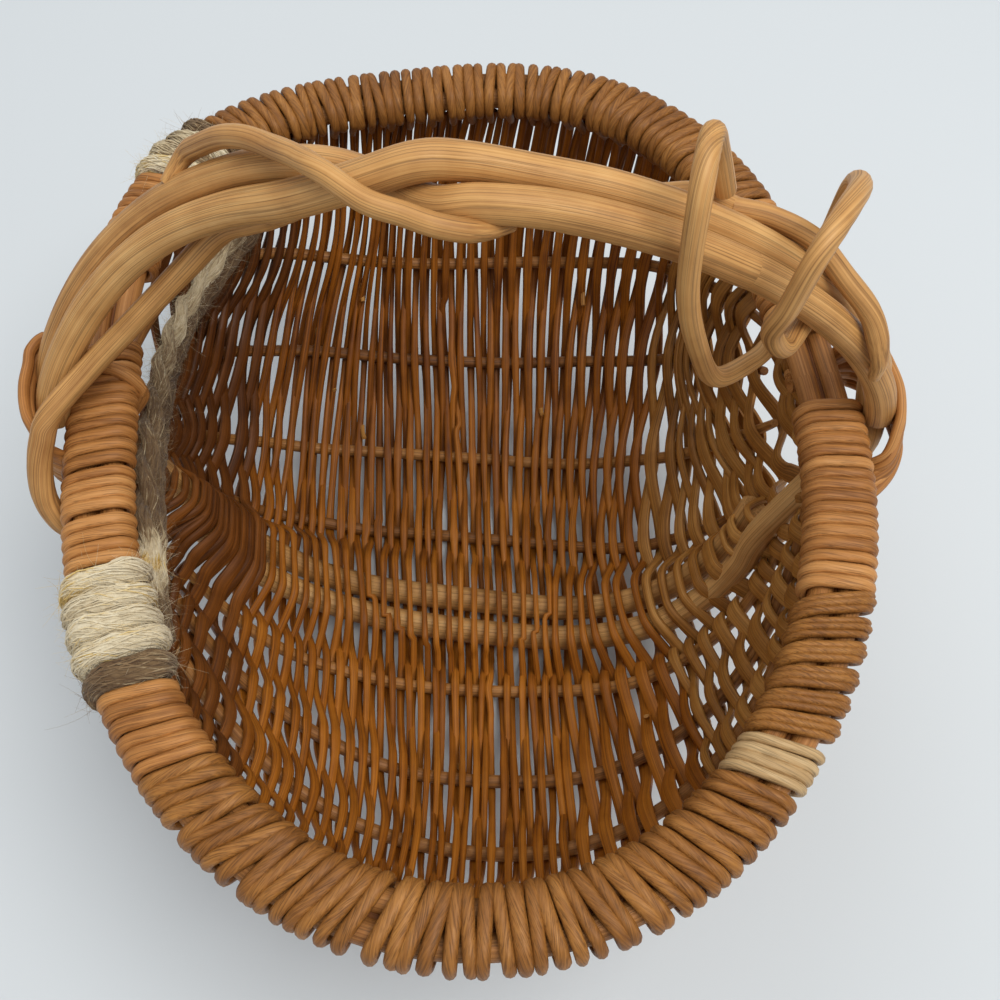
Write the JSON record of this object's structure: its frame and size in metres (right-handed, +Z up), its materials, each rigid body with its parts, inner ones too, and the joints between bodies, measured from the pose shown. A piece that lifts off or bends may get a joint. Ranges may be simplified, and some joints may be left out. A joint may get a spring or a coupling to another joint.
{
  "type": "knitting basket",
  "caption": "Oval rib basket of woven cane with a flat underside, a bound rim, wool accents and a fixed arched handle that ends in a free tendril.",
  "frame": {"origin": "middle of the flat underside, midway between the ears and midway along the rim", "axes": "+X to the right ear along the handle, +Y to the back of the basket along its longer side, +Z up"},
  "size_m": [0.3034, 0.3519, 0.2732],
  "materials": {
    "handle_cane": "peeled thick cane, satin, fine grain along the rod",
    "rib_cane": "darker round cane, satin",
    "weave": "thin round reed woven over and under the ribs, satin",
    "binding_cane": "reed turns round the rim and the ears, satin",
    "wool": "thick handspun wool, cream, grey and mustard, matt and hairy"
  },
  "bodies": {
    "root": {"ear_lashing_left": "binding_cane", "ear_lashing_right": "binding_cane", "ear_loop_left": "handle_cane", "handle_side_strand": "handle_cane", "handle_tail_strand": "handle_cane", "handle_tendril": "handle_cane", "hoop_rod_first": "handle_cane", "hoop_rod_second": "handle_cane", "rib_back_1": "rib_cane", "rib_back_2": "rib_cane", "rib_back_3": "rib_cane", "rib_back_4": "rib_cane", "rib_front_1": "rib_cane", "rib_front_2": "rib_cane", "rib_front_3": "rib_cane", "rib_front_4": "rib_cane", "rim_binding_back": "binding_cane", "rim_binding_back_right": "binding_cane", "rim_binding_front_left": "binding_cane", "rim_binding_front_right": "binding_cane", "rim_binding_left": "binding_cane", "rim_binding_left_back": "binding_cane", "rim_rod_inner": "rib_cane", "rim_rod_outer": "rib_cane", "wool_binding_back": "wool", "wool_binding_front": "wool", "wool_row": "wool", "woven_back_1": "weave", "woven_back_2": "weave", "woven_back_3": "weave", "woven_back_4": "weave", "woven_bottom": "weave", "woven_front_1": "weave", "woven_front_2": "weave", "woven_front_3": "weave", "woven_front_4": "weave"}
  },
  "joints": []
}
